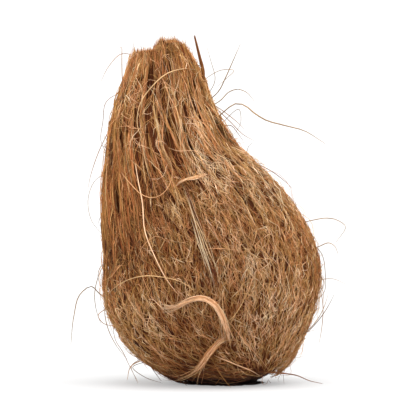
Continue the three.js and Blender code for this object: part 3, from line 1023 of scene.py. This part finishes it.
# Loose fibres that stand off the outline, by x, y and height, as in the solid.
HANGING_FIBRES = [
    [(-55.5, 0, 40), (-62, -2, 44.5), (-67, -4, 49), (-72, -5, 45.5), (-75.5, -6, 34),
     (-77, -7, 20)],
    [(-41, 0, 163), (-52, -2, 165), (-58, -3, 159), (-62, -3, 151.5)],
    [(-10.5, -3, 140), (-3, -4, 147), (0, -5, 153), (4, -6, 162), (7.5, -7, 170)],
    [(-10.5, 3, 137), (-2, 3, 142), (2, 3, 146), (6, 3, 147.3), (11, 4, 145.5), (14.5, 4, 141.5)],
    [(-8, -4, 129), (0, -6, 137), (5, -7, 140.5), (9, -8, 140), (15, -9, 135.5), (20, -9, 132.5),
     (30, -10, 129.7), (39, -10, 127.3), (49.5, -11, 121)],
    [(-6, 4, 126), (3, 5, 129), (6.5, 5, 125), (9, 5, 121.5)],
    [(34, -3, 79), (43, -5, 82), (55, -8, 82.7), (60, -9, 79.5), (55.5, -10, 71.5)],
    [(40.5, 3, 65), (48, 4, 69), (52, 4, 70.3), (55, 4, 68.5), (56.5, 4, 65)],
    [(40, -8, 73), (48, -9, 66), (50, -9, 56), (49.3, -9, 46), (41.5, -8, 40)],
    [(-54, 4, 39), (-61, 4, 36.3), (-63.5, 4, 34), (-62, 4, 31), (-52.5, 4, 28)],
    [(-36, -12, 13), (-43, -13, 12), (-47, -14, 9.5), (-48.8, -14, 3)],
    [(-54.5, -6, 106), (-64, -7, 103), (-68, -8, 95), (-67, -8, 83), (-57, -7, 71)],
    [(13, -20, 7), (22, -25, 7.5), (29, -27, 7), (36, -28, 6), (42, -29, 3.5), (48, -30, 2.2)],
]
HANGING_THICKNESS = [0.6, 0.4, 0.6, 0.55, 0.75, 0.45, 0.5, 0.55, 0.4, 0.45, 0.5, 0.3, 0.7]

# Thinner wisps that the solid is too coarse for.
WISPS = [
    [(-7, -36, 16), (-4.5, -39, 11), (-1.3, -40, 6), (2.7, -41, 1)],
    [(-14, -3, 150), (0, -6, 157.5), (4.5, -7, 157), (1.1, -7, 153.5), (-5, -5, 148)],
    [(-3, 2, 129), (7.2, 2, 137), (7.8, 2, 130.5), (4, 2, 124)],
    [(2, 4, 110), (10.8, 4, 116), (12, 4, 119), (14.4, 4, 120.8)],
    [(42, 2, 50), (49.6, 2, 52.3), (54.4, 2, 52.3), (60, 2, 49.9)],
    [(-40, -6, 14), (-46.8, -7, 8.7), (-45, -7, 4), (-43.7, -7, 0.9)],
    [(-38, -8, 12), (-46.1, -8, 8.7), (-40.1, -9, 3.9), (-31.6, -9, 0.9)],
    [(-50, 2, 147), (-59.5, 2, 140.8), (-61, 2, 131), (-62, 2, 121.5), (-57, 2, 112)],
    [(-22, -3, 158), (-20, -3, 168), (-19.5, -3, 172.5)],
    [(-42, 3, 158), (-46, 3, 166), (-45.5, 3, 171)],
    [(-11, 6, 141), (-5, 6, 152), (-7, 6, 161), (-9, 6, 168)],
    [(-56, -3, 28), (-54.7, -3, 22), (-50.7, -3, 15.5), (-48.5, -3, 10.7), (-43.5, -3, 1)],
    [(-55, 0, 62), (-62.5, 0, 58), (-63.5, 0, 54), (-62, 0, 49), (-57, 0, 44)],
    [(42, 0, 60), (48.5, 0, 60), (47.4, 0, 56), (49.5, 0, 50.5), (44, 0, 42)],
    [(43, 0, 34), (46, 0, 37.5), (48, 0, 38.5)],
    [(30, 2, 14), (34, 2, 13.8), (35.2, 2, 12), (34, 2, 10.5)],
]
SLIVER = [(-11.5, -4, 148), (-10.8, -4, 156), (-12.6, -4, 163.5), (-15, -4, 173.4)]

WILD_FIBRES = 22
WILD_FROM = math.radians(-35)
WILD_TO = math.radians(215)
WILD_RUN = 0.13
WILD_SWAY = math.radians(16)
WILD_LIFT = 8
ROOT_DEPTH = 2.5


def wild_line(rings):
    """One of the solid's loose fibres round its sides and back, by the solid's own draws."""
    start_share = 0.2 + 0.68 * solid_draw()
    start_turn = WILD_FROM + (WILD_TO - WILD_FROM) * solid_draw()
    run = WILD_RUN * (0.6 + solid_draw())
    run = run * (-1 if solid_draw() < 0.5 else 1)
    sway = WILD_SWAY * (2 * solid_draw() - 1)
    along = np.linspace(0, 1, rings)
    share = np.minimum(start_share + run * along, 0.97)
    turn = start_turn + sway * along * along
    lift = -ROOT_DEPTH + (WILD_LIFT + ROOT_DEPTH) * np.sqrt(along)
    return smooth_point(share, turn) + normal_at(share, turn) * lift[:, None]


def loose_fibres(rng, rings=20):
    """The loose fibres that are placed one by one: straw-coloured ones over the front, and dull
    ones off the outline."""
    lying = [on_front(*smooth_line(points, rings).T) for points in LYING_FIBRES + LYING_WISPS]
    hanging = [smooth_line(points, rings) for points in HANGING_FIBRES + WISPS]
    wild = [wild_line(rings) for _ in range(WILD_FIBRES)]
    widths = np.concatenate([
        LYING_THICKNESS, np.full(len(LYING_WISPS), 0.32), HANGING_THICKNESS,
        np.full(len(WISPS), 0.36), np.full(len(wild), 0.45),
    ])
    straw = tone_place(rng.integers(0, 2, len(lying)), rng.normal(0.79, 0.05, len(lying)))
    off = len(hanging + wild)
    dull = tone_place(
        np.where(rng.random(off) < 0.6, WEATHERED, STRAW), rng.uniform(0.2, 0.5, off)
    )
    return np.array(lying + hanging + wild), widths, np.r_[straw, dull]


def sliver_fibres(rng, count=18, rings=10):
    """The sliver of dark husk beside the tuft, as a tight bundle."""
    spine = smooth_line(SLIVER, rings)
    narrow = np.linspace(1.2, 0.6, rings)[:, None]
    lines = np.array([spine + rng.normal(0, 0.5, 3) * narrow for _ in range(count)])
    return lines, np.full(count, 0.5), tone_place(STRAW, rng.normal(0.32, 0.14, count))


def thin_hairs(rng, turns, alongs, rise, tone, spread, thick, vary):
    """Hairs along fibres' places on the coat, at a rise off it."""
    lines = coat_point(turns, alongs, rise)
    tones = fibre_tones(rng, turns, alongs, lines, tone, spread)
    return lines, thick * uneven(rng, vary, len(lines)), tones


def edge_hairs(rng, count, rings=7):
    """Hairs that run along the coat a few millimetres off it, most of them rooted at both ends."""
    turn, along = spread_over_coat(rng, count)
    long = rng.uniform(12, 32, len(along))
    way = rng.normal(0, 0.25, len(along))
    turns, alongs, place = lay(rng, turn, along, long, way, 0.5, rings, 0.08)
    reach = np.clip(rng.gamma(2.0, 0.8, (len(along), 1)), 0.3, 5)
    held = rng.random((len(along), 1)) < 0.7
    rise = np.where(held, reach * np.sin(math.pi * place), reach * place ** 1.5)
    rise = rise - 0.8 * (1 - place) ** 6 - np.where(held, 0.8 * place ** 6, 0)
    return thin_hairs(rng, turns, alongs, rise, tone=0.62, spread=0.15, thick=0.22, vary=0.2)


def crossing_hairs(rng, count, rings=7):
    """Thin light hairs that lie across the tuft's fibres, most of them near its end."""
    turn, along = spread_over_coat(rng, 12 * count)
    chosen = rng.random(len(along)) < smoothstep(0.6, 1.0, along)
    turn, along = turn[chosen][:count], along[chosen][:count]
    long = rng.uniform(6, 20, len(along))
    way = rng.uniform(-1.3, 1.3, len(along))
    turns, alongs, place = lay(rng, turn, along, long, way, 0.5, rings, 0.2, top=1)
    rise = rng.uniform(1.0, 2.0, (len(along), 1)) * np.sin(math.pi * place) ** 0.5
    return thin_hairs(rng, turns, alongs, rise, tone=0.8, spread=0.1, thick=0.22, vary=0.2)


def fuzz_fibres(rng, count, rings=4):
    """Thin hairs that stand off the coat all round."""
    turn, along = spread_over_coat(rng, count)
    long = 5 * uneven(rng, 0.45, len(along))
    way = rng.normal(0, 0.5, len(along))
    turns, alongs, place = lay(rng, turn, along, long, way, 0.35, rings, 0.2, top=1)
    reach = np.clip(rng.gamma(1.6, 0.7, (len(along), 1)), 0.1, 5)
    rise = reach * place ** rng.uniform(0.7, 1.6, (len(along), 1)) - 0.6 * (place == 0)
    return thin_hairs(rng, turns, alongs, rise, tone=0.62, spread=0.15, thick=0.2, vary=0.25)


def make_camera():
    data = bpy.data.cameras.new("view")
    data.sensor_width = SENSOR
    data.lens = SENSOR * VIEW_DISTANCE / VIEW_SPAN
    camera = add_object("view", data)
    back = Vector((0, -math.cos(VIEW_DOWN), math.sin(VIEW_DOWN)))
    camera.location = VIEW_MIDDLE + back * VIEW_DISTANCE
    camera.rotation_euler = (-back).to_track_quat("-Z", "Y").to_euler()
    bpy.context.scene.camera = camera


FLOOR_SIZE = 60
FLOOR_COLOUR = "#A0A0A0"
FLOOR_GLOW = 0.33
WHITE = (1, 1, 1, 1)
SURROUND = 1.2
LAMP_FROM = (0.12, -0.2, 1.0)
LAMP_STRENGTH = 2.8
FILL_FROM = (-0.15, -1.0, 0.28)
FILL_STRENGTH = 2.1
LAMP_SOFTNESS = math.radians(55)


def soft_lamp(name, comes_from, strength):
    data = bpy.data.lights.new(name, "SUN")
    data.angle = LAMP_SOFTNESS
    data.energy = strength
    lamp = add_object(name, data)
    lamp.rotation_euler = Vector(comes_from).to_track_quat("Z", "Y").to_euler()


def make_stage():
    """A wide pale floor, lit from below, a white surround and a large soft lamp from above."""
    bpy.ops.mesh.primitive_plane_add(size=FLOOR_SIZE)
    floor = bpy.context.object
    floor.name = "floor"
    paper = bpy.data.materials.new("white_paper")
    paper.use_nodes = True
    set_inputs(paper.node_tree, paper.node_tree.nodes["Principled BSDF"], {
        "Base Color": to_linear(FLOOR_COLOUR), "Roughness": 0.9,
        "Emission Color": WHITE, "Emission Strength": FLOOR_GLOW,
    })
    floor.data.materials.append(paper)
    world = bpy.data.worlds.new("white_surround")
    world.use_nodes = True
    background = world.node_tree.nodes["Background"]
    set_inputs(world.node_tree, background, {"Color": WHITE, "Strength": SURROUND})
    bpy.context.scene.world = world
    soft_lamp("soft_lamp", LAMP_FROM, LAMP_STRENGTH)
    soft_lamp("fill_lamp", FILL_FROM, FILL_STRENGTH)
    bpy.context.scene.view_settings.view_transform = "Standard"


make_camera()
make_stage()
pith = pith_material()
make_coat(pith)
coir = coir_fibre_material("coir_fibre", SHORT_FIBRE)
long_coir = coir_fibre_material("long_coir_fibre", LONG_FIBRE)
under = matted_fibres(
    seeded(1), count=16400, length=4.2, thick=0.42, heading=0.5, wander=0.2,
    low=-1.0, high=-0.4, tone=0.52, spread=0.12, rings=2,
)
middle = matted_fibres(
    seeded(2), count=16400, length=3.8, thick=0.33, heading=0.55, wander=0.25,
    low=-0.75, high=-0.05, tone=0.63, spread=0.115, rings=2,
)
upper = matted_fibres(
    seeded(3), count=7600, length=4.4, thick=0.27, heading=0.5, wander=0.35,
    low=-0.6, high=0.15, tone=0.67, spread=0.1, over_tuft=0.5,
)
curls = matted_fibres(
    seeded(4), count=800, length=5.0, thick=0.21, heading=1.3, wander=0.5,
    low=-0.5, high=0.5, tone=0.74, spread=0.12, rings=4, over_tuft=0.9, off_felt=True,
)
loose = [
    loose_fibres(seeded(9)), sliver_fibres(seeded(10)), edge_hairs(seeded(12), count=260),
    crossing_hairs(seeded(13), count=240), fuzz_fibres(seeded(11), count=1500),
]
foot = [foot_fibres(seeded(14), count=1000), recess_fibres(seeded(15), count=26000)]
fibre_piece("under_fibres", [under], coir)
fibre_piece("middle_fibres", [middle], coir)
fibre_piece("upper_fibres", [upper, curls], coir)
# The foot's fibres take the pith's material, with its painted shade near the floor.
fibre_piece("foot_fibres", foot, pith)
fibre_piece("tuft_fibres", [tuft_fibres(seeded(5)), tuft_end(seeded(6), count=1000)], long_coir)
fibre_piece("torn_strips", [torn_strips(seeded(7))], long_coir)
fibre_piece("seam_fibres", [seam_fibres(seeded(8))], long_coir)
fibre_piece("loose_fibres", loose, long_coir)
